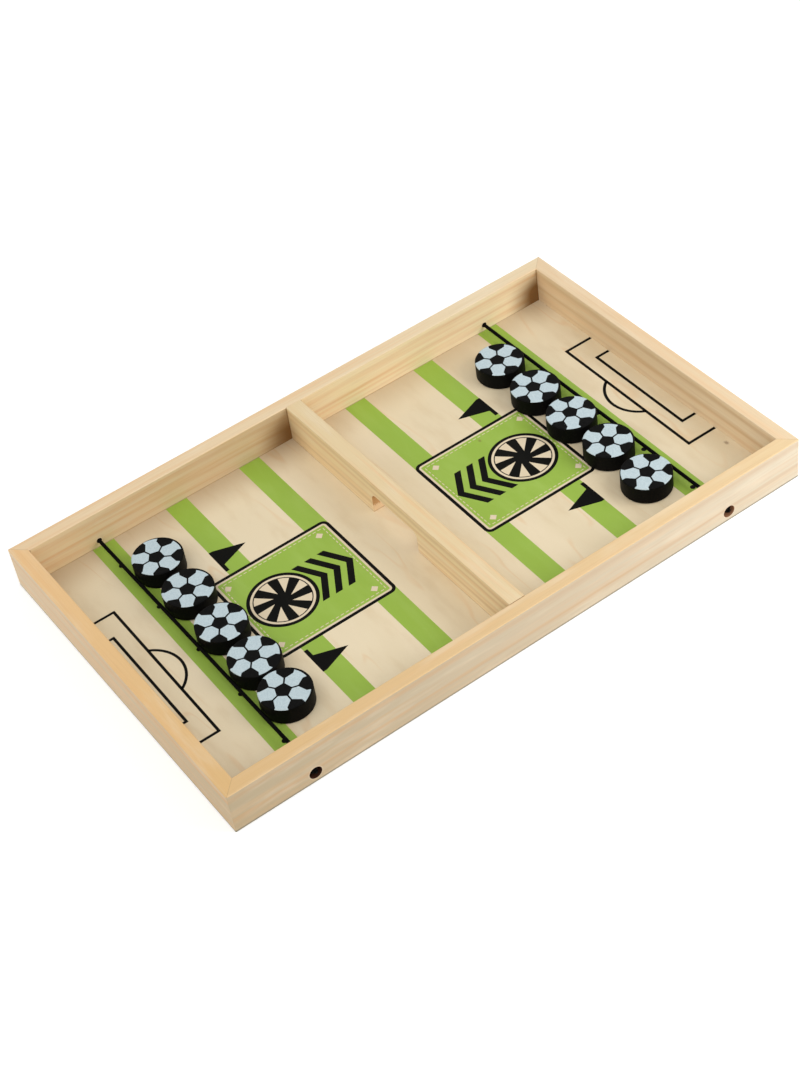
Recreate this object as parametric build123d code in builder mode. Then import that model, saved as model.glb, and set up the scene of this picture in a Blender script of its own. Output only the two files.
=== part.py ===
from build123d import *
import os

os.makedirs("parts", exist_ok=True)

# The tray: four pine rails, mitred at the corners. Its length runs along X, its width along Y.
# The origin is the middle of the underside.
tray_length = 350.0
tray_width = 214.0
tray_corner_radius = 0.8
rail_height = 26.0
rail_thickness = 8.3
rail_edge_radius = 0.6
inner_width = tray_width - 2 * rail_thickness

# The plywood floor, let into a rabbet in the lower inner edge of every rail.
board_thickness = 3.0
board_recess = 0.5
board_edge_gap = 0.25
rabbet_width = 3.0
board_top = board_recess + board_thickness

# The pucks lie flat on the floor, in one row of five in front of each elastic. The floor's
# print and varnish take up the small gap under them.
puck_diameter = 27.6
puck_height = 10.5
puck_edge_radius = 0.9
puck_floor_gap = 0.1
puck_to_elastic_gap = 0.3

# The divider stands across the tray, a little left of the middle. Its gate lets one puck
# through at a time.
divider_thickness = 9.5
divider_offset = -1.5
gate_side_clearance = 6.2
gate_headroom = 3.0
gate_corner_radius = 4.0
gate_width = puck_diameter + 2 * gate_side_clearance
gate_height = puck_height + gate_headroom

# The elastics run straight across the tray, low enough to push a puck's side. The pair is
# strung a little left of the middle too.
elastic_diameter = 2.0
elastic_to_end_rail = 38.6
elastic_offset = -1.0
elastic_height_share = 0.38
elastic_half_spacing = tray_length / 2 - rail_thickness - elastic_to_end_rail
left_elastic_x = elastic_offset - elastic_half_spacing
right_elastic_x = elastic_offset + elastic_half_spacing
elastic_height = board_top + puck_height * elastic_height_share

# Each end of an elastic passes through a small hole in the side rail. Its knot is held in a
# wider hole, sunk from the rail's outer face and set a little lower than the small one.
cord_hole_clearance = 0.5
cord_hole_diameter = elastic_diameter + 2 * cord_hole_clearance
knot_diameter = 5.0
knot_length = 3.6
knot_drop = 0.8
knot_side_clearance = 1.0
knot_hole_drop = 1.2
knot_hole_floor = 4.0
knot_hole_diameter = knot_diameter + 2 * knot_side_clearance
knot_hole_depth = rail_thickness - knot_hole_floor
knot_seat_y = tray_width / 2 - knot_hole_depth

# The knot's side view, as shares of its length and of its radius: two turns and a waist.
turn_length_shares = (0.26, 0.76)
turn_radius_shares = (1.0, 0.92)
face_radius_share = 0.72
waist_length_share = 0.5
waist_radius_share = 0.8
tail_length_share = 0.17

# Where the loose pucks of each row lie across the tray, from the far rail to the near one,
# and how far each has been left in front of the elastic, as shares of the puck's diameter.
left_row_shares = (2.21, 1.11, -0.05, -1.165, -2.175)
left_ahead_shares = (0, 0, 0, 0, 0)
right_row_shares = (2.25, 1.12, 0.005, -1.09, -2.25)
right_ahead_shares = (0.05, 0.035, 0.025, 0, 0.045)

up = Vector(0, 0, 1)


def save(piece, name):
    piece.part.label = name
    export_step(piece.part, f"parts/{name}.step")


def make_rail(name, inward, outer_face_at, length, cord_places=()):
    """One rail, drawn in section square to its length and cut to 45 degrees at both ends.

    inward points from the rail's outer face to the middle of the tray. cord_places are the
    X of the elastics that a side rail holds."""
    along = inward.cross(up)
    middle = inward * -outer_face_at
    holes_along = [x * along.X for x in cord_places]
    with BuildPart() as rail:
        with BuildSketch(Plane(origin=middle, x_dir=inward, z_dir=along)):
            with Locations((rail_thickness / 2, rail_height / 2)):
                RectangleRounded(rail_thickness, rail_height, rail_edge_radius)
            with Locations((rail_thickness, 0)):
                Rectangle(rabbet_width, board_top, align=(Align.MAX, Align.MIN), mode=Mode.SUBTRACT)
        extrude(amount=length / 2, both=True)
        for end in (-1, 1):
            corner = middle + along * (end * length / 2)
            mitre = Plane(origin=corner, z_dir=inward + along * end)
            split(bisect_by=mitre, keep=Keep.BOTTOM)
        with BuildSketch(Plane.XY):
            RectangleRounded(tray_length, tray_width, tray_corner_radius)
        extrude(amount=rail_height, mode=Mode.INTERSECT)
        if holes_along:
            with Locations(Plane(origin=middle, x_dir=along, z_dir=-inward)):
                with Locations([(place, elastic_height) for place in holes_along]):
                    Hole(radius=cord_hole_diameter / 2)
                with Locations([(place, elastic_height - knot_hole_drop) for place in holes_along]):
                    Hole(radius=knot_hole_diameter / 2, depth=knot_hole_depth)
    save(rail, name)


def make_elastic(name, x):
    """A taut cord, from the knot in one side rail to the knot in the other."""
    with BuildPart() as elastic:
        with BuildSketch(Plane.XZ):
            with Locations((x, elastic_height)):
                Circle(elastic_diameter / 2)
        extrude(amount=knot_seat_y, both=True)
    save(elastic, name)


def make_knot(name, x, outward):
    """The end of a cord, tied in a knot that seats on the floor of its hole."""
    seat = outward * knot_seat_y + Vector(x, 0, elastic_height - knot_drop)
    radius = knot_diameter / 2
    face = (0, radius * face_radius_share)
    first_turn = (knot_length * turn_length_shares[0], radius * turn_radius_shares[0])
    waist = (knot_length * waist_length_share, radius * waist_radius_share)
    second_turn = (knot_length * turn_length_shares[1], radius * turn_radius_shares[1])
    tail_root = (knot_length, elastic_diameter / 2)
    tail_end = knot_length * (1 + tail_length_share)
    with BuildPart() as knot:
        with BuildSketch(Plane(origin=seat, x_dir=outward, z_dir=outward.cross(up))):
            with BuildLine():
                Line((0, 0), face)
                ThreePointArc(face, first_turn, waist)
                ThreePointArc(waist, second_turn, tail_root)
                Line(tail_root, (tail_end, tail_root[1]))
                Line((tail_end, tail_root[1]), (tail_end, 0))
                Line((tail_end, 0), (0, 0))
            make_face()
        revolve(axis=Axis(seat, outward))
    save(knot, name)


def make_puck(name, x, y):
    """A turned wooden disc with both rims eased."""
    with BuildPart() as puck:
        with BuildSketch(Plane(origin=(x, y, board_top + puck_floor_gap))):
            Circle(puck_diameter / 2)
        extrude(amount=puck_height)
        fillet(puck.edges().filter_by(GeomType.CIRCLE), puck_edge_radius)
    save(puck, name)


cord_places = (left_elastic_x, right_elastic_x)
make_rail("near_side_rail", Vector(0, 1, 0), tray_width / 2, tray_length, cord_places)
make_rail("far_side_rail", Vector(0, -1, 0), tray_width / 2, tray_length, cord_places)
make_rail("left_end_rail", Vector(1, 0, 0), tray_length / 2, tray_width)
make_rail("right_end_rail", Vector(-1, 0, 0), tray_length / 2, tray_width)

with BuildPart() as play_board:
    board_inset = rail_thickness - rabbet_width + board_edge_gap
    with BuildSketch(Plane.XY.offset(board_recess)):
        Rectangle(tray_length - 2 * board_inset, tray_width - 2 * board_inset)
    extrude(amount=board_thickness)
save(play_board, "play_board")

with BuildPart() as centre_divider:
    with BuildSketch(Plane.YZ.offset(divider_offset)) as divider_face:
        with Locations((0, board_top)):
            Rectangle(inner_width, rail_height - board_top, align=(Align.CENTER, Align.MIN))
            Rectangle(gate_width, gate_height, align=(Align.CENTER, Align.MIN), mode=Mode.SUBTRACT)
        gate_top = board_top + gate_height
        gate_corners = divider_face.vertices().filter_by_position(Axis.Y, gate_top, gate_top)
        fillet(gate_corners, gate_corner_radius)
    extrude(amount=divider_thickness / 2, both=True)
    top_edges = centre_divider.edges().filter_by(Axis.Y).group_by(Axis.Z)[-1]
    fillet(top_edges, rail_edge_radius)
save(centre_divider, "centre_divider")

rows = {
    "left": (left_elastic_x, 1, left_row_shares, left_ahead_shares),
    "right": (right_elastic_x, -1, right_row_shares, right_ahead_shares),
}
row_to_elastic = (elastic_diameter + puck_diameter) / 2 + puck_to_elastic_gap
for player, (elastic_x, ahead, row_shares, ahead_shares) in rows.items():
    make_elastic(f"{player}_elastic", elastic_x)
    make_knot(f"{player}_elastic_near_knot", elastic_x, Vector(0, -1, 0))
    make_knot(f"{player}_elastic_far_knot", elastic_x, Vector(0, 1, 0))
    for number, (row_share, ahead_share) in enumerate(zip(row_shares, ahead_shares), start=1):
        puck_x = elastic_x + ahead * (row_to_elastic + puck_diameter * ahead_share)
        make_puck(f"{player}_puck_{number}", puck_x, puck_diameter * row_share)
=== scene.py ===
import math

import bmesh
import bpy
from mathutils import Matrix, Vector


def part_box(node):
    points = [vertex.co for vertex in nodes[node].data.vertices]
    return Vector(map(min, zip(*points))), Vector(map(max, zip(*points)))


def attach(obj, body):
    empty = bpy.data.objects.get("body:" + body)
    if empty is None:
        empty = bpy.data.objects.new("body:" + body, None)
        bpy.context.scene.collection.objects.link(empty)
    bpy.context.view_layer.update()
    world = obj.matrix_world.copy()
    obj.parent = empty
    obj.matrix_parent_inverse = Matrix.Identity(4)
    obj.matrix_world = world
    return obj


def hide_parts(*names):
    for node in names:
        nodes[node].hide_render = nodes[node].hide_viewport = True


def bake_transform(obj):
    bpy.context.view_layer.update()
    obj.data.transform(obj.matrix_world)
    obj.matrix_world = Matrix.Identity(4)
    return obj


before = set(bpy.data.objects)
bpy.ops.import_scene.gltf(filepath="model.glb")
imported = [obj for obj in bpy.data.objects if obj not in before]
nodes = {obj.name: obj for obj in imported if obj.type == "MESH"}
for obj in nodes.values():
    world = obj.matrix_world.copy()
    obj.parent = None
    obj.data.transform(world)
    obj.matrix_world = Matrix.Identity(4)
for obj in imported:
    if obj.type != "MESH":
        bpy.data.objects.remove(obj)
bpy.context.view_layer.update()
mm = 0.001


# The camera. It stands over the near left corner of the tray, looks down at the near side of
# the gate, and is held a little askew.
camera_place = Vector((-380.33, -677.75, 752.14)) * mm
camera_aim = Vector((-15.56, -18.09, 13.0)) * mm
camera_roll = math.radians(-9.64)
photo_height = 1091
focal_length = 2073.35
sensor_size = 36.0

camera_data = bpy.data.cameras.new("camera")
camera_data.sensor_width = sensor_size
camera_data.lens = sensor_size * focal_length / photo_height
camera = bpy.data.objects.new("camera", camera_data)
bpy.context.scene.collection.objects.link(camera)
looking = (camera_aim - camera_place).to_track_quat("-Z", "Y").to_matrix()
rolled = looking @ Matrix.Rotation(camera_roll, 3, "Z")
camera.matrix_world = Matrix.Translation(camera_place) @ rolled.to_4x4()
bpy.context.scene.camera = camera
bpy.context.scene.view_settings.view_transform = "Standard"


# The four rails of the frame: sanded pine sticks, mitred and glued at the corners. Each was sawn
# with its growth rings nearly level, so they show as long bands on its sides and a plain top.
class Signal:
    """One value in a material's node tree. Arithmetic on it adds the Math nodes."""

    def __init__(self, tree, socket=None):
        self.tree = tree
        self.socket = socket

    def node(self, kind, settings, sockets, output=0):
        """Adds a node, sets it up, fills or links its inputs and gives one of its outputs."""
        made = self.tree.nodes.new("ShaderNode" + kind)
        for name, value in settings.items():
            if name == "stops":
                stops = made.color_ramp.elements
                while len(stops) < len(value):
                    stops.new(1.0)
                for stop, (place, level) in zip(stops, value):
                    stop.position = place
                    stop.color = (level, level, level, 1)
            elif name == "interpolation":
                made.color_ramp.interpolation = value
            else:
                setattr(made, name, value)
        for key, value in sockets.items():
            if isinstance(value, Signal):
                self.tree.links.new(value.socket, made.inputs[key])
            else:
                made.inputs[key].default_value = value
        return Signal(self.tree, made.outputs[output])

    def maths(self, operation, *values):
        return self.node("Math", {"operation": operation}, dict(enumerate(values)))

    def __add__(self, other):
        return self.maths("ADD", self, other)

    def __sub__(self, other):
        return self.maths("SUBTRACT", self, other)

    def __mul__(self, other):
        return self.maths("MULTIPLY", self, other)

    def __truediv__(self, other):
        return self.maths("DIVIDE", self, other)

    def __rsub__(self, other):
        return self.maths("SUBTRACT", other, self)

    def __rtruediv__(self, other):
        return self.maths("DIVIDE", other, self)

    __radd__ = __add__
    __rmul__ = __mul__

    def size(self):
        return self.maths("ABSOLUTE", self)

    def root(self):
        return self.maths("SQRT", self)

    def sine(self):
        return self.maths("SINE", self)

    def least(self, other):
        return self.maths("MINIMUM", self, other)

    def most(self, other):
        return self.maths("MAXIMUM", self, other)

    def rise(self, low, high):
        """0 below low, 1 above high, smooth between. With low above high it falls instead."""
        falling = low > high
        ends = (high, low) if falling else (low, high)
        settings = {"interpolation_type": "SMOOTHSTEP"}
        up = self.node("MapRange", settings, {0: self, 1: ends[0], 2: ends[1]})
        return 1 - up if falling else up

    def split(self):
        return [self.node("SeparateXYZ", {}, {0: self}, part) for part in range(3)]

    def point(self, x, y, z):
        return self.node("CombineXYZ", {}, {0: x, 1: y, 2: z})

    def noise(self, scales, seed=0.0, detail=2.0, roughness=0.5):
        """Noise from 0 to 1 at this place, stretched by a scale for each axis."""
        settings = {"operation": "MULTIPLY_ADD"}
        offset = (seed, seed * 1.7, -seed)
        moved = self.node("VectorMath", settings, {0: self, 1: scales, 2: offset})
        sockets = {"Vector": moved, "Scale": 1.0, "Detail": detail, "Roughness": roughness}
        return self.node("TexNoise", {}, sockets)

    def mix(self, first, second):
        """The colour that goes from first to second as this value goes from 0 to 1."""
        return self.node("Mix", {"data_type": "RGBA"}, {0: self, 6: first, 7: second}, 2)


def paint(red, green, blue):
    """A colour as a screen shows it, from 0 to 255, made linear."""
    levels = [value / 255 for value in (red, green, blue)]
    linear = [v / 12.92 if v < 0.04045 else ((v + 0.055) / 1.055) ** 2.4 for v in levels]
    return (*linear, 1.0)


def new_finish(name, roughness, shine=0.5):
    """A new material: its shader, and the place on the object in millimetres."""
    finish = bpy.data.materials.new(name)
    finish.use_nodes = True
    tree = finish.node_tree
    shader = tree.nodes["Principled BSDF"]
    shader.inputs["Roughness"].default_value = roughness
    shader.inputs["Specular IOR Level"].default_value = shine
    object_place = Signal(tree).node("TexCoord", {}, {}, "Object")
    place = object_place.node("VectorMath", {"operation": "SCALE"}, {0: object_place, 3: 1 / mm})
    return finish, shader, place


def facing(place):
    """The direction that the surface faces, as its three parts."""
    return place.node("TexCoord", {}, {}, "Normal").split()


def feed(shader, socket, signal):
    signal.tree.links.new(signal.socket, shader.inputs[socket])


def raise_grain(shader, height, depth):
    """Bump from a height of 0 to 1 that stands for depth, in metres."""
    bump = height.node("Bump", {}, {"Strength": 1.0, "Distance": depth, "Height": height})
    feed(shader, "Normal", bump)


def dress(node, finish):
    """Gives a piece one material all over."""
    node.data.materials.clear()
    node.data.materials.append(finish)


late_pine = paint(219, 157, 97)
amber_pine = paint(236, 186, 130)
pale_fleck = paint(246, 231, 204)
fibre_pine = paint(198, 160, 112)
end_grain = paint(206, 162, 114)
end_grain_light = paint(237, 207, 168)
# The walls of the bored holes: painted shade in the bores.
bore_shade_dark, bore_shade_brown = paint(66, 36, 24), paint(158, 112, 82)
# Brown for the dark glue lines and for painted shade.
joint_and_shade_brown = paint(134, 97, 55)
# The grey of the painted contact shadow along the rails' foot.
foot_shadow_grey = paint(116, 112, 92)

rail_low, rail_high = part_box("near_side_rail")
rail_top = rail_high.z / mm
outer_half_length = -rail_low.x / mm
outer_half_width = -rail_low.y / mm
rail_thickness = (rail_high.y - rail_low.y) / mm
inner_half_length = outer_half_length - rail_thickness
inner_half_width = outer_half_width - rail_thickness
board_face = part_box("play_board")[1].z / mm
divider_low, divider_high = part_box("centre_divider")
divider_middle = (divider_low.x + divider_high.x) / 2 / mm
divider_half = (divider_high.x - divider_low.x) / 2 / mm

# Dark glue lines and dirt, with painted shade in their gaps, darken the wood where two pieces meet,
# and a painted contact shadow darkens each rail's foot: how wide they are, in mm, and how strong.
# Painted shade lies in the corners and, from the divider on, along the left half.
joint_shade_line, mitre_line, foot_shadow_line = 0.7, 0.3, 1.6
board_joint_and_shade, corner_joint_and_shade, mitre_joint, foot_shadow_strength = 0.4875, 0.65, 0.3, 0.8
corner_reach, half_reach = 24.0, 190.0
shade_full_height, shade_end_height = 10.0, 30.0
divider_shade, right_end_shade, end_rail_shade, left_half_shade = 0.68, 1.156, 0.34, 0.33
# In mm: how ragged a growth ring's edge is, how high the end grain stays pale, and how far the
# drill chipped the wood around a hole.
ring_raggedness, end_grain_pale_top, chipped_reach = 1.6, 8.0, 0.9


def growth_rings(grain, height, bands, sway, seed):
    """How dark the growth rings are: long bands, each at its own height and softly waved."""
    wave = (grain.noise((0.011, 0.0, 0.004), seed, detail=1.0) - 0.5) * (2 * sway)
    ragged = (grain.noise((0.04, 0.25, 0.5), seed + 3) - 0.5) * ring_raggedness
    level = (height + wave + ragged) / rail_top
    least_step = 0.002
    stops = [(0.0, 0.0)]
    for middle, width, strength in bands:
        start = max((middle - width / 2) / rail_top, stops[-1][0] + least_step)
        stops.append((start, 0.0))
        stops.append((max(middle / rail_top, start + least_step), strength))
        stops.append((min((middle + width / 2) / rail_top, 1.0), 0.0))
    return level.node("ValToRGB", {"stops": stops, "interpolation": "EASE"}, {0: level})


def corner_shade(parts, along):
    """How strongly painted shade darkens the wood: in the corners, and along a side rail's left
    half.
    """
    x, y, height = parts
    low_down = height.rise(shade_end_height, shade_full_height)
    if along:
        return (y - inner_half_width).rise(-corner_reach, 0.0) * low_down * end_rail_shade
    to_divider = divider_low.x / mm - x
    left_half = to_divider.rise(-1.0, 0.0)
    at_divider = to_divider.rise(corner_reach, 0.0) * left_half
    at_right_end = (x - inner_half_length).rise(-corner_reach, 0.0)
    near = (at_divider * divider_shade + at_right_end * right_end_shade) * low_down
    return near + to_divider.rise(half_reach, 0.0) * left_half * left_half_shade


def pine(
    name, along, sides, tops, bands, sway, seed, warmth, holes=(), late=late_pine, divider=False
):
    """Pine with its grain along an axis, 0 for X or 1 for Y.

    sides and tops are the colours of its sides and its top, each at its low and its high end.
    bands lists the dark growth rings from below, each as its height, width and strength, and late
    is their colour. sway is how far they wave, in mm, and warmth how much amber the wood has.
    The divider lies inside the tray with both its sides, and has no mitre and no foot."""
    finish, shader, place = new_finish(name, roughness=0.62, shine=0.2)
    parts = place.split()
    run, across, height = parts[along], parts[1 - along], parts[2]
    normal = facing(place)
    grain = place.point(run, across, height)
    end_share = run / (2 * (outer_half_width if along else outer_half_length)) + 0.5
    upward = normal[2].rise(0.02, 0.35)
    colour = upward.mix(end_share.mix(*sides), end_share.mix(*tops))

    rings = growth_rings(grain, height, bands, sway, seed) * (1 - upward)
    clouds = grain.noise((0.02, 0.12, 0.12), seed + 11, detail=3.0, roughness=0.6)
    streaks = grain.noise((0.03, 1.3, 1.3), seed + 13, detail=3.0, roughness=0.6)
    fibres = grain.noise((0.09, 5.0, 5.0), seed + 7, detail=3.0, roughness=0.6)
    amber = grain.noise((0.008, 0.3, 0.3), seed + 17)
    colour = (clouds.rise(0.45, 0.75) * 0.35).mix(colour, pale_fleck)
    colour = (amber.rise(0.44, 0.7) * warmth).mix(colour, amber_pine)
    colour = (rings * (0.7 + streaks * 0.5)).mix(colour, late)
    colour = (streaks.rise(0.45, 0.8) * 0.2 + fibres.rise(0.52, 0.8) * 0.14).mix(colour, fibre_pine)

    # Sawn across, the wood shows its pores, and is darker above a set height than below it.
    sawn_across = normal[along].size().rise(0.75, 0.95)
    pores = place.noise((1.2, 1.2, 1.2), seed, detail=3.0).rise(0.35, 0.65)
    above_pale_part = (height + pores * 1.5).rise(end_grain_pale_top, end_grain_pale_top + 1.5)
    colour = sawn_across.mix(colour, above_pale_part.mix(end_grain_light, end_grain))

    x_gap = inner_half_length - parts[0].size()
    y_gap = inner_half_width - parts[1].size()
    inside = (x_gap if along else y_gap).rise(-0.3, -0.1) if not divider else 1.0
    # Painted shade in the corners and along the left half.
    colour = (corner_shade(parts, along) * inside * (1 - upward)).mix(colour, joint_and_shade_brown)
    # Dark glue lines with painted shade in their gaps, where the wood meets the board and where a
    # rail meets another piece.
    beside = y_gap if along else x_gap.least((parts[0] - divider_middle).size() - divider_half)
    at_corner = beside.rise(joint_shade_line, 0.1) * (1 - upward)
    at_board = (height - board_face).rise(joint_shade_line, 0.1)
    joints_and_shade = (at_board * board_joint_and_shade).most(at_corner * corner_joint_and_shade)
    colour = (joints_and_shade * inside).mix(colour, joint_and_shade_brown)
    if not divider:
        # A painted contact shadow along the foot of the outer faces.
        in_foot_shadow = height.rise(foot_shadow_line, 0.7) * (1 - inside)
        colour = (in_foot_shadow * foot_shadow_strength).mix(colour, foot_shadow_grey)
        mitre = (x_gap - y_gap).size().rise(mitre_line, 0.05)
        colour = (mitre * upward * mitre_joint).mix(colour, joint_and_shade_brown)

    for hole_x, hole_z, radius, start, end, bore_shade in holes:
        east, up = parts[0] - hole_x, height - hole_z
        from_axis = (east * east + up * up).root()
        deep = parts[1].size()
        within = deep.rise(start, start + 0.02) * deep.rise(end + 0.02, end)
        chipped = from_axis.rise(radius + chipped_reach, radius) * within
        colour = (chipped * 0.35).mix(colour, pale_fleck)
        # Painted shade on the hole's wall.
        colour = (from_axis.rise(radius + 0.12, radius + 0.05) * within).mix(colour, bore_shade)
    feed(shader, "Base Color", colour)
    raise_grain(shader, fibres * 0.7 + streaks * 0.3, depth=0.05 * mm)
    return finish


# Each side rail is bored for two cords. A hole is given as its place, its radius, how far from the
# tray's middle it starts and ends, and the colour of its wall, which is painted shade: darkest in
# the narrow cord holes and in the left cord's knot holes.
cord_hole_radius, knot_hole_radius, knot_hole_drop = 1.5, 3.5, 1.2
bored = []
for cord, bore_shade in (("left_elastic", bore_shade_dark), ("right_elastic", bore_shade_brown)):
    low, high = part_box(cord)
    cord_x, cord_z = (low.x + high.x) / 2 / mm, (low.z + high.z) / 2 / mm
    seat, mouth = high.y / mm, outer_half_width + 1
    knot_hole_z = cord_z - knot_hole_drop
    bored.append((cord_x, cord_z, cord_hole_radius, 0.0, seat, bore_shade_dark))
    bored.append((cord_x, knot_hole_z, knot_hole_radius, seat - 0.01, mouth, bore_shade))

# The sides darken towards the left end: partly the wood's tone, partly painted light that falls off
# towards the near left corner.
near_sides_with_painted_falloff = (paint(191, 173, 141), paint(224, 210, 186))
near_tops = (paint(226, 189, 136), paint(233, 205, 160))
near_late = paint(204, 158, 112)
near_bands = [(4.0, 2.0, 0.08), (8.6, 4.4, 0.34), (15.0, 2.6, 0.08), (23.0, 7.0, 0.3)]
near_pine = pine(
    "near_rail_pine", 0, near_sides_with_painted_falloff, near_tops, near_bands, sway=0.7, seed=1.0, warmth=0.18,
    holes=bored, late=near_late,
)
dress(nodes["near_side_rail"], near_pine)

far_sides = (paint(240, 214, 170), paint(253, 235, 197))
far_tops = (paint(240, 212, 172), paint(237, 217, 181))
far_bands = [(6.6, 3.4, 0.18), (13.2, 4.4, 0.3), (21.4, 5.0, 0.24)]
far_pine = pine(
    "far_rail_pine", 0, far_sides, far_tops, far_bands, sway=3.0, seed=2.0, warmth=0.4, holes=bored
)
dress(nodes["far_side_rail"], far_pine)

# The sides darken towards the near end: partly the wood's tone, partly painted light that falls off
# towards the near left corner.
left_sides_with_painted_falloff = (paint(199, 178, 144), paint(227, 206, 174))
left_tops = (paint(227, 188, 131), paint(243, 202, 148))
left_bands = [(5.5, 3.4, 0.14), (12.0, 3.4, 0.14), (21.5, 4.4, 0.3)]
left_pine = pine(
    "left_rail_pine", 1, left_sides_with_painted_falloff, left_tops, left_bands, sway=0.9, seed=3.0, warmth=0.25
)
dress(nodes["left_end_rail"], left_pine)

right_sides = (paint(245, 220, 183), paint(228, 202, 163))
right_tops = (paint(234, 210, 174), paint(233, 206, 168))
right_late = paint(204, 164, 112)
right_bands = [(6.4, 3.6, 0.2), (13.4, 5.6, 0.46), (22.2, 5.2, 0.44)]
right_pine = pine(
    "right_rail_pine", 1, right_sides, right_tops, right_bands, sway=1.0, seed=4.0, warmth=0.25,
    late=right_late,
)
dress(nodes["right_end_rail"], right_pine)


# The play board: 3 mm birch plywood with its face grain across the tray, let into the rails
# from below. Its face is plain and pale, with soft figure, fine pores and two pin knots.
birch_left, birch_right = paint(235, 219, 186), paint(227, 210, 176)
birch_light = paint(240, 224, 193)
birch_dark = paint(209, 183, 142)
birch_vein = paint(222, 178, 124)
pin_knot = paint(120, 84, 56)
inner_ply = paint(196, 164, 122)
# The colour of the painted light that the divider throws back.
painted_bounce_birch = paint(243, 206, 150)

# Each pin knot's place on the board and its radius, in mm.
left_pin_knot, right_pin_knot = (68.0, 26.0, 0.6), (162.8, -65.4, 0.9)
# Painted shade lies along the far rail, a little deeper in the left half. Painted light, as the
# divider throws it back, warms the board at its right.
far_shade_start, far_shade, left_half_more = 73.0, 0.28, 0.14
bounce_reach, bounce_strength = 16.0, 0.4
# The board is three veneers of equal thickness, and the middle one is darker.
board_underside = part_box("play_board")[0].z / mm
inner_ply_middle = (board_face + board_underside) / 2
inner_ply_half = (board_face - board_underside) / 6


def birch_figure(place):
    """The board's soft figure, fine pores, thin veins and pin knots. They show through the ink."""
    wide = place.noise((0.05, 0.014, 0.05), seed=5.0, detail=3.0, roughness=0.55)
    swirl = place.noise((0.1, 0.03, 0.1), seed=7.0, detail=3.0, roughness=0.55)
    pores = place.noise((6.0, 0.55, 4.0), seed=9.0, detail=3.0, roughness=0.6)
    veins = (place.noise((0.045, 0.009, 0.05), seed=11.0) - 0.5).size().rise(0.02, 0.0)
    veins = veins * wide.rise(0.4, 0.6)
    x, y = place.split()[:2]
    ragged = (place.noise((1.2, 1.2, 1.2), seed=8.0) - 0.5) * 1.2
    spots = []
    for knot_x, knot_y, knot_radius in (left_pin_knot, right_pin_knot):
        east, north = x - knot_x, (y - knot_y) * 0.7
        from_knot = (east * east + north * north).root()
        spots.append((from_knot + ragged).rise(knot_radius + 0.7, knot_radius * 0.3))
    return wide, swirl, pores, veins, spots[0].most(spots[1])


birch, birch_shader, place = new_finish("birch_plywood", roughness=0.55, shine=0.35)
wide, swirl, pores, veins, knots = birch_figure(place)
x, y, z = place.split()
colour = (x / (2 * inner_half_length) + 0.5).mix(birch_left, birch_right)
colour = (wide.rise(0.4, 0.7) * 0.5).mix(colour, birch_light)
colour = (swirl.rise(0.48, 0.75) * 0.3).mix(colour, birch_dark)
colour = (veins * 0.3).mix(colour, birch_vein)
colour = (pores.rise(0.56, 0.75) * 0.2).mix(colour, birch_dark)
colour = (knots * 0.6).mix(colour, pin_knot)
# Painted shade along the far rail.
shaded = y.rise(far_shade_start, inner_half_width)
colour = (shaded * (far_shade + x.rise(0.0, -1.0) * left_half_more)).mix(colour, joint_and_shade_brown)
# Painted light, thrown back by the divider, on the board at its right.
from_divider = x - divider_high.x / mm
painted_bounce = from_divider.rise(bounce_reach, 0.0) * from_divider.rise(-0.5, 0.0)
colour = (painted_bounce * bounce_strength).mix(colour, painted_bounce_birch)
at_inner_ply = (z - inner_ply_middle).size().rise(inner_ply_half + 0.05, inner_ply_half - 0.05)
on_edge = 1 - facing(place)[2].size().rise(0.3, 0.7)
colour = (at_inner_ply * on_edge).mix(colour, inner_ply)
feed(birch_shader, "Base Color", colour)
raise_grain(birch_shader, pores, depth=0.03 * mm)
dress(nodes["play_board"], birch)


# The pitch, printed on the board before the rails went on: six green stripes across it, and at
# each end two goal boxes, an arc and five dots that show where the pucks start.
stripe_middles = (35.45, 82.4, 128.15)
stripe_width = 13.1
outer_box, outer_box_half = 148.5, 51.9
inner_box, inner_box_half = 157.6, 36.2
arc_radius, arc_reach, arc_steps = 19.6, 9.5, 32
# For the right half and the left one: how wide the goal lines are, and how far off their place.
goal_widths_shifts = ((1.7, 0.45), (1.55, 0.0))
# Each row of dots: its place along the board, and how it leans.
dot_rows = ((-128.1, -0.0063), (128.6, 0.0))
dot_spacing, dot_radius, dot_sides = 39.2, 1.5, 28
# The whole print leans half a degree and lies a little off the board's middle. What runs out to
# the rails is drawn a little too long and cut just short of them.
print_lean = 0.0083
print_shift_x, print_shift_y = -0.4, -0.45
overprint, ink_to_rail = 2.0, 0.05
# How thick the ink is. What is printed later lies over what was there before.
stripe_film, outline_film, gap_film = 0.02, 0.032, 0.038
panel_film, black_film, fleck_film = 0.045, 0.06, 0.075


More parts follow.
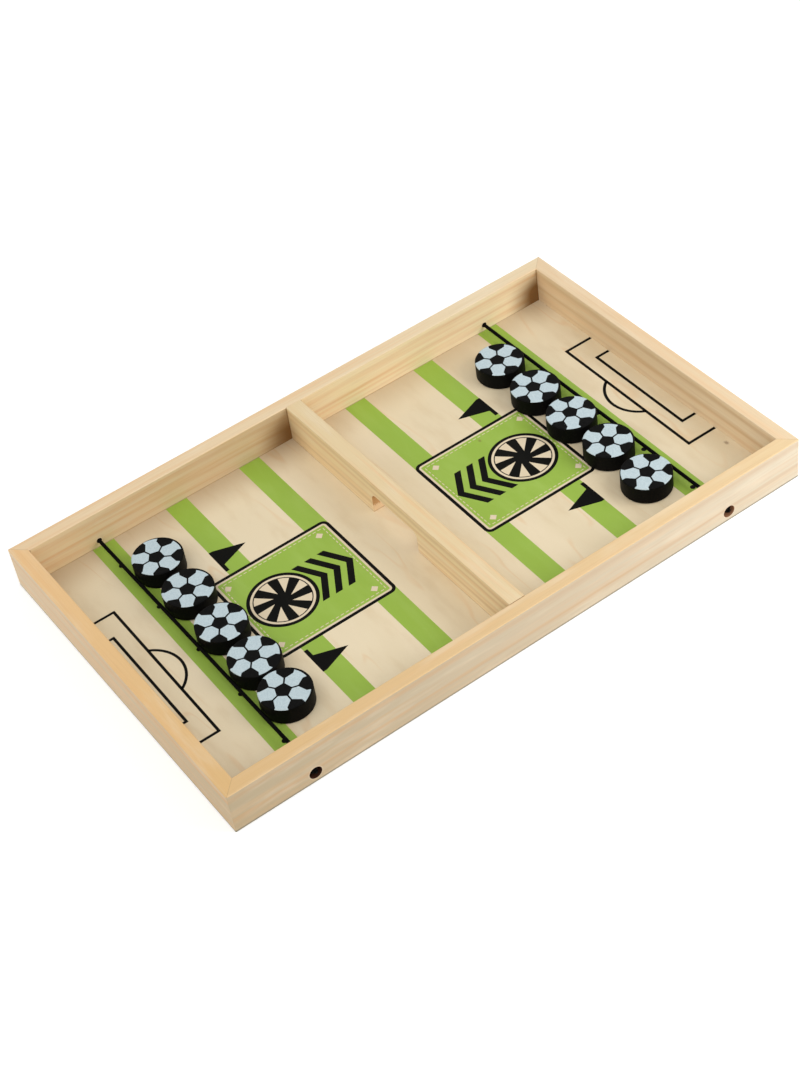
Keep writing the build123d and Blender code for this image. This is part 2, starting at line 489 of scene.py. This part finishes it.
def printed(name, layers, finish):
    """Ink on the board: flat faces, drawn in mm from the middle of the print, given their film.

    layers pairs each bmesh of flat faces with the thickness of its ink."""
    mesh = bpy.data.meshes.new(name)
    whole = bmesh.new()
    x_reach, y_reach = inner_half_length - ink_to_rail, inner_half_width - ink_to_rail
    for drawing, film in layers:
        for vert in drawing.verts:
            x = vert.co.x + print_lean * vert.co.y + print_shift_x
            y = vert.co.y + print_shift_y
            x, y = max(-x_reach, min(x_reach, x)), max(-y_reach, min(y_reach, y))
            vert.co = Vector((x, y, board_face)) * mm
        bmesh.ops.recalc_face_normals(drawing, faces=drawing.faces)
        for face in drawing.faces:
            if face.normal.z < 0:
                face.normal_flip()
        top = bmesh.ops.extrude_face_region(drawing, geom=drawing.faces[:])["geom"]
        raised = [item for item in top if isinstance(item, bmesh.types.BMVert)]
        bmesh.ops.translate(drawing, verts=raised, vec=(0, 0, film * mm))
        bmesh.ops.recalc_face_normals(drawing, faces=drawing.faces)
        drawing.to_mesh(mesh)
        whole.from_mesh(mesh)
        drawing.free()
    whole.to_mesh(mesh)
    whole.free()
    piece = bpy.data.objects.new(name, mesh)
    bpy.context.scene.collection.objects.link(piece)
    dress(piece, finish)
    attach(piece, "tray")


def polygon(drawing, *corners):
    """One flat face, from its corners in mm."""
    return drawing.faces.new([drawing.verts.new((x, y, 0)) for x, y in corners])


def both_halves(draw, film, choices=((), ())):
    """A drawing for the right half and one turned half round for the left half.

    choices are what draw is told for each of them."""
    layers = []
    for turn, choice in zip((0, math.pi), choices):
        drawing = bmesh.new()
        draw(drawing, *choice)
        bmesh.ops.rotate(drawing, verts=drawing.verts, matrix=Matrix.Rotation(turn, 3, "Z"))
        layers.append((drawing, film))
    return layers


def ink(name, written, thin, shine=0.3):
    """Printing ink on the birch: the board's figure shows through it a little."""
    finish, shader, place = new_finish(name, roughness=0.5, shine=shine)
    wide, swirl, pores, veins, knots = birch_figure(place)
    colour = (swirl.rise(0.4, 0.75) * 0.5 + wide * 0.3 + veins * 0.2).mix(written, thin)
    colour = (pores.rise(0.58, 0.76) * 0.35).mix(colour, thin)
    colour = (knots * 0.5).mix(colour, pin_knot)
    feed(shader, "Base Color", colour)
    raise_grain(shader, pores, depth=0.02 * mm)
    return finish


green_ink = ink("green_ink", paint(148, 180, 66), paint(160, 190, 84))
black_ink = ink("black_ink", paint(9, 9, 8), paint(22, 21, 18), shine=0.04)


def stripes(drawing):
    """The three stripes of one half, from side rail to side rail."""
    reach = inner_half_width + overprint
    for middle in stripe_middles:
        near, far = middle - stripe_width / 2, middle + stripe_width / 2
        polygon(drawing, (near, -reach), (far, -reach), (far, reach), (near, reach))


def goal_box(drawing, line, half, edge):
    """Three sides of a box that is open to the end rail."""
    end = inner_half_length + overprint
    outline = [(end, half + edge), (line - edge, half + edge)]
    outline += [(line - edge, -half - edge), (end, -half - edge)]
    outline += [(end, -half + edge), (line + edge, -half + edge)]
    outline += [(line + edge, half - edge), (end, half - edge)]
    polygon(drawing, *outline)


def goal_lines(drawing, line_width, shift):
    """Two boxes and an arc. Each half has its own width of line and place along the board."""
    edge = line_width / 2
    goal_box(drawing, outer_box + shift, outer_box_half, edge)
    goal_box(drawing, inner_box + shift, inner_box_half, edge)
    centre = outer_box + shift - arc_reach + arc_radius
    sweep = math.acos((arc_radius - arc_reach) / arc_radius)
    start = Matrix.Rotation(math.pi - sweep, 3, "Z")
    ends = [drawing.verts.new(start @ Vector((arc_radius + s * edge, 0, 0))) for s in (-1, 1)]
    stroke = drawing.edges.new(ends)
    bmesh.ops.spin(
        drawing, geom=[*ends, stroke], cent=(0, 0, 0), axis=(0, 0, 1), angle=2 * sweep,
        steps=arc_steps,
    )
    # The arc was drawn around the print's middle, where nothing else lies.
    turned = [v for v in drawing.verts if v.co.xy.length < arc_radius + line_width]
    bmesh.ops.translate(drawing, verts=turned, vec=(centre, 0, 0))


printed("pitch_stripes", both_halves(stripes, stripe_film), green_ink)
start_dots = bmesh.new()
for row_x, row_lean in dot_rows:
    for number in range(-2, 3):
        along_row = number * dot_spacing
        moved = Matrix.Translation((row_x + row_lean * along_row, along_row, 0))
        bmesh.ops.create_circle(
            start_dots, cap_ends=True, segments=dot_sides, radius=dot_radius, matrix=moved
        )
goals = both_halves(goal_lines, black_film, goal_widths_shifts)
printed("goal_lines", goals + [(start_dots, black_film)], black_ink)


# A badge printed in each half, between the stripes: a green panel in a black outline, with
# chevrons that point to the gate, a wheel of blades, and two corner flags beside it.
panel_start, panel_end, panel_half = 28.7, 101.5, 33.9
panel_corner, least_corner = 4.0, 0.6
outline_width, gap_width = 1.9, 1.2
stitch_inset, stitch_width, stitch_length, stitch_pitch = 1.6, 0.45, 1.9, 3.1
diamond_half = 2.3
diamond_places = [(x, y) for x in (38.0, 95.0) for y in (25.5, -25.5)]
chevron_points = (34.0, 42.0, 50.0)
chevron_thickness, chevron_half, chevron_sweep = 4.2, 15.0, 8.5
wheel_x, wheel_radius, wheel_rim, wheel_sides = 77.5, 19.0, 1.3, 72
blade_count, blade_start, blade_end = 8, 5.0, 15.2
flag_pole_x, flag_pole_foot, flag_pole_top, flag_pole_width = 88.0, 36.8, 54.5, 2.2
flag_reach, flag_drop = 17.0, 12.5


def rounded_panel(drawing, inset):
    """The badge's outline, drawn in by inset."""
    low, high, half = panel_start + inset, panel_end - inset, panel_half - inset
    panel = polygon(drawing, (low, -half), (high, -half), (high, half), (low, half))
    radius = max(panel_corner - inset, least_corner)
    bmesh.ops.bevel(
        drawing, geom=list(panel.verts), offset=radius, offset_type="OFFSET", segments=8,
        profile=0.5, affect="VERTICES", material=-1,
    )


def badge_marks(drawing):
    """The chevrons, the wheel's disc and the corner flags, in black."""
    for tip in chevron_points:
        back = tip + chevron_sweep
        for turn in (-1, 1):
            polygon(
                drawing, (tip, 0), (back, turn * chevron_half),
                (back + chevron_thickness, turn * chevron_half), (tip + chevron_thickness, 0),
            )
    moved = Matrix.Translation((wheel_x, 0, 0))
    bmesh.ops.create_circle(
        drawing, cap_ends=True, segments=wheel_sides, radius=wheel_radius, matrix=moved
    )
    for turn in (-1, 1):
        left, right = flag_pole_x - flag_pole_width / 2, flag_pole_x + flag_pole_width / 2
        foot, top = turn * flag_pole_foot, turn * flag_pole_top
        polygon(drawing, (left, foot), (right, foot), (right, top), (left, top))
        low = turn * (flag_pole_top - flag_drop)
        tip = turn * (flag_pole_top - flag_drop / 2)
        polygon(drawing, (left, top), (left - flag_reach, tip), (left, low))


def stitches(drawing, start, end, seams, upright):
    """Two dashed seams that run from start to end, upright along Y or else along X."""
    count = int((end - start - stitch_length) / stitch_pitch)
    margin = (end - start - count * stitch_pitch - stitch_length) / 2
    for number in range(count + 1):
        low = start + margin + number * stitch_pitch
        high = low + stitch_length
        for seam in seams:
            left, right = seam - stitch_width / 2, seam + stitch_width / 2
            stitch = [(left, low), (right, low), (right, high), (left, high)]
            polygon(drawing, *(stitch if upright else [(y, x) for x, y in stitch]))


def badge_flecks(drawing):
    """The bare wood that shows in the badge: the wheel's rim and blades, stitches and diamonds."""
    rim = wheel_radius - 2 * wheel_rim
    ends = [drawing.verts.new((rim + s * wheel_rim / 2, 0, 0)) for s in (-1, 1)]
    edge = drawing.edges.new(ends)
    bmesh.ops.spin(
        drawing, geom=[*ends, edge], cent=(0, 0, 0), axis=(0, 0, 1), angle=2 * math.pi,
        steps=wheel_sides, use_merge=True,
    )
    blade_width = math.pi / blade_count
    blade = [Vector((blade_start, 0, 0))]
    for share in (0.0, 0.5, 1.0):
        blade.append(Matrix.Rotation(blade_width * share, 3, "Z") @ Vector((blade_end, 0, 0)))
    for number in range(blade_count):
        turn = Matrix.Rotation(2 * blade_width * number, 3, "Z")
        drawing.faces.new([drawing.verts.new(turn @ corner) for corner in blade])
    bmesh.ops.translate(drawing, verts=drawing.verts, vec=(wheel_x, 0, 0))
    inset = outline_width + gap_width + stitch_inset
    left, right, half = panel_start + inset, panel_end - inset, panel_half - inset
    stitches(drawing, -half, half, (left, right), upright=True)
    stitches(drawing, left, right, (-half, half), upright=False)
    for x, y in diamond_places:
        polygon(
            drawing, (x - diamond_half, y), (x, y - diamond_half), (x + diamond_half, y),
            (x, y + diamond_half),
        )


bare_ink = ink("bare_birch_in_print", paint(228, 211, 181), paint(220, 202, 170))
for name, inset, film, finish in (
    ("badge_outlines", 0.0, outline_film, black_ink),
    ("badge_gaps", outline_width, gap_film, bare_ink),
    ("badge_fields", outline_width + gap_width, panel_film, green_ink),
):
    printed(name, both_halves(rounded_panel, film, ([inset], [inset])), finish)
printed("badge_marks", both_halves(badge_marks, black_film), black_ink)
printed("badge_flecks", both_halves(badge_flecks, fleck_film), bare_ink)


# The divider: a pine bar glued between the side rails, with the gate cut in its lower edge. The
# gate's two ends are end grain, darker and pinker than its faces.
divider_sides = (paint(253, 229, 186), paint(243, 218, 172))
divider_tops = (paint(232, 209, 166), paint(232, 209, 165))
divider_late = paint(200, 160, 108)
divider_bands = [
    (5.4, 2.6, 0.2), (9.4, 4.4, 0.42), (13.2, 3.0, 0.14), (18.8, 3.6, 0.22), (23.0, 4.6, 0.34),
]
divider_pine = pine(
    "divider_pine", 1, divider_sides, divider_tops, divider_bands, sway=1.2, seed=6.0, warmth=0.35,
    late=divider_late, divider=True,
)
dress(nodes["centre_divider"], divider_pine)


# The elastics: 2 mm rubber cord in a woven black sleeve, pulled straight through a hole in each
# side rail.
cord_low, cord_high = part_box("left_elastic")
cord_radius = (cord_high.z - cord_low.z) / 2 / mm
cord_sides = 20
ring_step = 1.2
sleeve_strands = 8
strand_pitch = 2.6
# Each half of a cord is cut at these shares of its length. Each cut is also given the t at which
# 3tt - 2ttt equals its share. Each cut is given the t that moves it by its own share. The drawn
# cord then stays nearly straight.
bend_shares = (0.0, 0.02, 0.06, 0.15, 0.85, 0.93, 1.0)
bend_places = [0.5 - math.sin(math.asin(1 - 2 * share) / 3) for share in bend_shares]
bend_names = ("mouth", "neck", "throat", "leg", "shoulder", "wrap")

sleeve, sleeve_shader, place = new_finish("woven_sleeve", roughness=0.7, shine=0.03)
sleeve_place = place.node("Attribute", {"attribute_name": "sleeve"}, {}, "Vector")
round_x, round_y, length = sleeve_place.split()
turn = round_x.maths("ARCTAN2", round_y, round_x) * (sleeve_strands / 2)
climb = length * (2 * math.pi / strand_pitch)
weave = (turn + climb).sine().size().most((turn - climb).sine().size())
feed(sleeve_shader, "Base Color", weave.rise(0.5, 1.0).mix(paint(3, 3, 3), paint(13, 13, 12)))
raise_grain(sleeve_shader, weave, depth=0.12 * mm)


def tube(name, path, radius, body=None):
    """A capped tube of woven cord along a path of points, in mm, with the sleeve's coordinates."""
    made = bmesh.new()
    sleeve_layer = made.verts.layers.float_vector.new("sleeve")
    before = path[1] - path[0]
    stance = before.to_track_quat("Z", "Y")
    length = 0.0
    rings, loops = [], []
    for number, point in enumerate(path):
        ahead = path[min(number + 1, len(path) - 1)] - path[max(number - 1, 0)]
        stance = before.rotation_difference(ahead) @ stance
        before = ahead
        if number:
            length += (point - path[number - 1]).length
        matrix = Matrix.Translation(point) @ stance.to_matrix().to_4x4()
        circle = bmesh.ops.create_circle(made, segments=cord_sides, radius=radius, matrix=matrix)
        ring = circle["verts"]
        for corner, vert in enumerate(ring):
            turn = 2 * math.pi * corner / cord_sides
            vert[sleeve_layer] = Vector((math.cos(turn), math.sin(turn), length))
        rings.append(ring)
        loops.append(list(dict.fromkeys(edge for vert in ring for edge in vert.link_edges)))
    for first, second in zip(loops, loops[1:]):
        bmesh.ops.bridge_loops(made, edges=first + second)
    for ring in (rings[0], rings[-1]):
        made.faces.new(ring)
    bmesh.ops.recalc_face_normals(made, faces=made.faces)
    bmesh.ops.scale(made, verts=made.verts, vec=(mm, mm, mm))
    for face in made.faces:
        face.smooth = len(face.verts) == 4
    mesh = bpy.data.meshes.new(name)
    made.to_mesh(mesh)
    made.free()
    piece = bpy.data.objects.new(name, mesh)
    bpy.context.scene.collection.objects.link(piece)
    dress(piece, sleeve)
    if body:
        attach(piece, body)
    return piece


def straight(start, end):
    """Points from start to end, about ring_step apart."""
    steps = max(1, round((end - start).length / ring_step))
    return [start.lerp(end, number / steps) for number in range(steps + 1)]


def string_elastic(side):
    """One elastic, as short lengths of cord from the seat in each rail to the middle puck."""
    low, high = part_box(f"{side}_elastic")
    x, z = (low.x + high.x) / 2 / mm, (low.z + high.z) / 2 / mm
    puck_low, puck_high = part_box(f"{side}_puck_3")
    middle = Vector((x, (puck_low.y + puck_high.y) / 2 / mm, z))
    ends = (("near", low.y / mm, -inner_half_width), ("far", high.y / mm, inner_half_width))
    for end, seat_y, mouth_y in ends:
        seat, mouth = Vector((x, seat_y, z)), Vector((x, mouth_y, z))
        marks = [mouth.lerp(middle, share) for share in bend_shares]
        direction = (middle - mouth).normalized()
        for part, name in enumerate(bend_names):
            start, stop = marks[part], marks[part + 1]
            path = straight(start if part else seat, stop)
            piece = tube(f"{side}_elastic_{end}_{name}", path, cord_radius)
            # begin and finish are worked out past both ends of the piece, which takes up only its
            # own part of the way between them; nothing uses them.
            drawn = (stop - start).length / (bend_places[part + 1] - bend_places[part])
            begin = start - direction * drawn * bend_places[part]
            finish = begin + direction * drawn
            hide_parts(f"{side}_elastic")
            begin * mm
            finish * mm
            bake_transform(piece)


for side in ("left", "right"):
    string_elastic(side)


# The knots: each end of a cord is tied in an overhand knot that jams in its bored hole, with a
# short tail left on it.
knot_steps = 64
knot_cord_radius = 0.82
knot_end_room = 0.3
# The tail starts and ends below the knot's middle, by these shares of its reach, and leans aside.
tail_start_share, tail_end_share, tail_aside = 0.3, 0.45, 0.6


def tie_knot(name):
    """The loop of one knot, drawn as a trefoil seen along the cord, and the tail left on it."""
    low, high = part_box(name)
    centre = (low + high) / 2 / mm
    outward = -1 if centre.y < 0 else 1
    reach = (high.x - low.x) / 2 / mm - knot_cord_radius
    depth = (high.y - low.y) / 2 / mm - knot_cord_radius - knot_end_room
    path = []
    for number in range(knot_steps + 1):
        t = 2 * math.pi * number / knot_steps
        east = reach * (math.sin(t) + 2 * math.sin(2 * t)) / 3
        up = reach * (math.cos(t) - 2 * math.cos(2 * t)) / 3
        out = -depth * math.sin(3 * t)
        path.append(centre + Vector((east, outward * out, up)))
    loop = tube(name + "_loop", path, knot_cord_radius, "tray")
    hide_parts(name)
    tail_start = centre - Vector((0, 0, reach * tail_start_share))
    tail_y = (low.y if outward < 0 else high.y) / mm
    tail_end = Vector((centre.x + tail_aside, tail_y, centre.z - reach * tail_end_share))
    tail = tube(name + "_tail", straight(tail_start, tail_end), knot_cord_radius, "tray")
    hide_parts(name)


for side in ("left", "right"):
    for end in ("near", "far"):
        tie_knot(f"{side}_elastic_{end}_knot")


# The pucks: ten turned wooden discs, dipped in satin black paint.
puck_paint, puck_shader, place = new_finish("puck_paint", roughness=0.42, shine=0.05)
brushed = place.noise((0.5, 0.5, 2.5), seed=1.0, detail=4.0, roughness=0.6)
specks = place.noise((5.0, 5.0, 5.0), seed=2.0)
colour = brushed.rise(0.3, 0.8).mix(paint(6, 6, 6), paint(14, 14, 13))
feed(puck_shader, "Base Color", colour)
feed(puck_shader, "Roughness", 0.4 + specks * 0.2)
raise_grain(puck_shader, specks * 0.6 + brushed * 0.4, depth=0.03 * mm)

# On each puck's top five pale patches are printed, so that the bare black between them makes a
# football. The pad that printed them was a little off the puck's centre.
patch_ink, patch_shader, place = new_finish("patch_ink", roughness=0.5, shine=0.2)
grainy = place.noise((1.6, 1.6, 1.6), seed=3.0, detail=4.0, roughness=0.65)
colour = grainy.rise(0.35, 0.65).mix(paint(182, 200, 206), paint(200, 215, 219))
feed(patch_shader, "Base Color", colour)
raise_grain(patch_shader, grainy, depth=0.03 * mm)

# A patch, in mm from the print's middle. Seams run out from the corners of the bare pentagon.
# Past their ends a patch narrows to its waist, and from there two horns flare out to the rim.
patch_count = 5
pentagon_radius = 4.7
seam_half, seam_end = 0.45, 7.9
waist_half, waist_out = 2.95, 11.2
horn_half, horn_out = 4.1, 13.4
print_radius = 13.6
patch_half, cut_room = 6.5, 0.2
patch_film, print_lift = 0.04, 0.03
grid_cell = 0.4
# The patches are cut to round outlines with many straight cuts. The arc of the print's own edge
# takes arc_cuts on each side of the patch's middle, and the puck's rim takes rim_cuts all round.
arc_cuts, arc_step = 6, math.radians(4)
rim_cuts, rim_inset = 48, 0.12
rim_radius = 0.9
# For each puck: the direction of its first patch in degrees, and how far east and north of the
# puck's centre the print is.
patch_prints = {
    "left": (
        (1, -1.1, -0.6), (22, -0.9, -1.3), (55, -0.8, -0.5), (52, -0.6, 0.6), (16, -1.4, -0.4),
    ),
    "right": (
        (19, -1.4, 0.1), (24, -1.4, -0.3), (24, -0.3, 0.6), (41, -1.4, -0.5), (2, -0.1, -0.7),
    ),
}


def keep_side(drawing, point, outward):
    """Cuts away what lies on the outward side of a line, drawn in mm."""
    geom = drawing.verts[:] + drawing.edges[:] + drawing.faces[:]
    bmesh.ops.bisect_plane(
        drawing, geom=geom, plane_co=(*point, 0), plane_no=(*outward, 0), clear_outer=True,
        dist=1e-5,
    )


def patch_part(low, high):
    """A grid of small faces that covers a patch from low to high, both in mm from the middle."""
    drawing = bmesh.new()
    across = round(2 * patch_half / grid_cell)
    up = max(2, round((high - low) / grid_cell))
    stretch = Matrix.Diagonal((patch_half, (high - low) / 2, 1, 1))
    matrix = Matrix.Translation((0, (low + high) / 2, 0)) @ stretch
    bmesh.ops.create_grid(drawing, x_segments=across, y_segments=up, size=1.0, matrix=matrix)
    return drawing


def patch_shape():
    """One pale patch, pointing along Y: a hexagon whose outer corners flare into two horns."""
    seam = math.pi / patch_count
    inner = pentagon_radius * math.cos(seam)
    shoulder = Vector((seam_end * math.sin(seam) - seam_half, seam_end * math.cos(seam)))
    lower = patch_part(inner, waist_out)
    upper = patch_part(waist_out, print_radius + cut_room)
    for turn in (-1, 1):
        across_seam = Vector((turn * math.cos(seam), -math.sin(seam)))
        keep_side(lower, across_seam * -seam_half, across_seam)
        flank = Vector((waist_half, waist_out)) - shoulder
        keep_side(lower, (turn * shoulder.x, shoulder.y), (turn * flank.y, -flank.x))
        horn = Vector((horn_half - waist_half, horn_out - waist_out))
        keep_side(upper, (turn * waist_half, waist_out), (turn * horn.y, -horn.x))
    for number in range(-arc_cuts, arc_cuts + 1):
        way = Vector((math.sin(number * arc_step), math.cos(number * arc_step)))
        keep_side(upper, way * print_radius, way)
    whole = bmesh.new()
    mesh = bpy.data.meshes.new("patch")
    for part in (lower, upper):
        part.to_mesh(mesh)
        whole.from_mesh(mesh)
        part.free()
    bmesh.ops.remove_doubles(whole, verts=whole.verts, dist=1e-4)
    return whole


def print_puck(puck, first_direction, east, north):
    """The five patches of one puck, laid over its top and its eased rim."""
    low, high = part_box(puck)
    radius = (high.x - low.x) / 2 / mm
    flat = radius - rim_radius
    mesh = bpy.data.meshes.new(puck + "_print")
    whole = bmesh.new()
    for number in range(patch_count):
        turn = math.radians(first_direction + 360 / patch_count * number - 90)
        patch = bmesh.new()
        patch.from_mesh(patch_mesh)
        bmesh.ops.rotate(patch, verts=patch.verts, matrix=Matrix.Rotation(turn, 3, "Z"))
        bmesh.ops.translate(patch, verts=patch.verts, vec=(east, north, 0))
        for step in range(rim_cuts):
            angle = 2 * math.pi * step / rim_cuts
            way = Vector((math.cos(angle), math.sin(angle)))
            keep_side(patch, way * (radius - rim_inset), way)
        for vert in patch.verts:
            past = max(0.0, vert.co.xy.length - flat)
            vert.co.z = math.sqrt(max(0.0, rim_radius**2 - past**2)) - rim_radius + print_lift
        bmesh.ops.recalc_face_normals(patch, faces=patch.faces)
        if sum(face.normal.z for face in patch.faces) < 0:
            bmesh.ops.reverse_faces(patch, faces=patch.faces)
        bmesh.ops.solidify(patch, geom=patch.faces[:], thickness=-patch_film)
        bmesh.ops.recalc_face_normals(patch, faces=patch.faces)
        patch.to_mesh(mesh)
        whole.from_mesh(mesh)
        patch.free()
    centre = (low + high) / 2
    bmesh.ops.scale(whole, verts=whole.verts, vec=(mm, mm, mm))
    bmesh.ops.translate(whole, verts=whole.verts, vec=(centre.x, centre.y, high.z))
    whole.to_mesh(mesh)
    whole.free()
    piece = bpy.data.objects.new(puck + "_print", mesh)
    bpy.context.scene.collection.objects.link(piece)
    dress(piece, patch_ink)
    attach(piece, puck)


patch_mesh = bpy.data.meshes.new("one_patch")
one_patch = patch_shape()
one_patch.to_mesh(patch_mesh)
one_patch.free()
for side, prints in patch_prints.items():
    for number, patch_print in enumerate(prints, start=1):
        dress(nodes[f"{side}_puck_{number}"], puck_paint)
        print_puck(f"{side}_puck_{number}", *patch_print)


# The stage: a white table top in a white room, with a soft lamp at the right near corner and a
# weaker, broader one from the left.
floor_half = 4.0
floor_mesh = bpy.data.meshes.new("floor")
plane = bmesh.new()
bmesh.ops.create_grid(plane, x_segments=1, y_segments=1, size=floor_half)
plane.to_mesh(floor_mesh)
plane.free()
floor = bpy.data.objects.new("floor", floor_mesh)
bpy.context.scene.collection.objects.link(floor)

table = bpy.data.materials.new("white_table")
table.use_nodes = True
start = Signal(table.node_tree)
table.node_tree.nodes.remove(table.node_tree.nodes["Principled BSDF"])
seen = start.node("LightPath", {}, {}, "Is Camera Ray")
seen = seen.most(start.node("LightPath", {}, {}, "Is Glossy Ray"))
matt = start.node("BsdfDiffuse", {}, {"Color": paint(250, 250, 250)})
glow = start.node("Emission", {}, {"Color": (1, 1, 1, 1), "Strength": 0.3})
none = start.node("Emission", {}, {"Color": (0, 0, 0, 1), "Strength": 0.0})
shown = seen.node("MixShader", {}, {0: seen, 1: none, 2: glow})
lit = start.node("AddShader", {}, {0: matt, 1: shown})
table.node_tree.links.new(lit.socket, table.node_tree.nodes["Material Output"].inputs[0])
dress(floor, table)

world = bpy.data.worlds.new("white_room")
world.use_nodes = True
bpy.context.scene.world = world
room = Signal(world.node_tree)
seen = room.node("LightPath", {}, {}, "Is Camera Ray")
seen = seen.most(room.node("LightPath", {}, {}, "Is Glossy Ray"))
seen = seen.most(room.node("LightPath", {}, {}, "Is Transmission Ray"))
room_level = 0.5
background = world.node_tree.nodes["Background"]
background.inputs["Color"].default_value = (1, 1, 1, 1)
feed(background, "Strength", room_level + seen * (1 - room_level))

key_data = bpy.data.lights.new("key_lamp", "AREA")
key_data.size = 0.45
key_data.energy = 2.6
key = bpy.data.objects.new("key_lamp", key_data)
key.location = (0.46, -0.48, 0.46)
key.rotation_euler = key.location.to_track_quat("Z", "Y").to_euler()
bpy.context.scene.collection.objects.link(key)

fill_data = bpy.data.lights.new("fill_lamp", "SUN")
fill_data.energy = 1.15
fill_data.angle = math.radians(80)
fill = bpy.data.objects.new("fill_lamp", fill_data)
fill.rotation_euler = Vector((-0.6, -0.2, 0.75)).to_track_quat("Z", "Y").to_euler()
bpy.context.scene.collection.objects.link(fill)
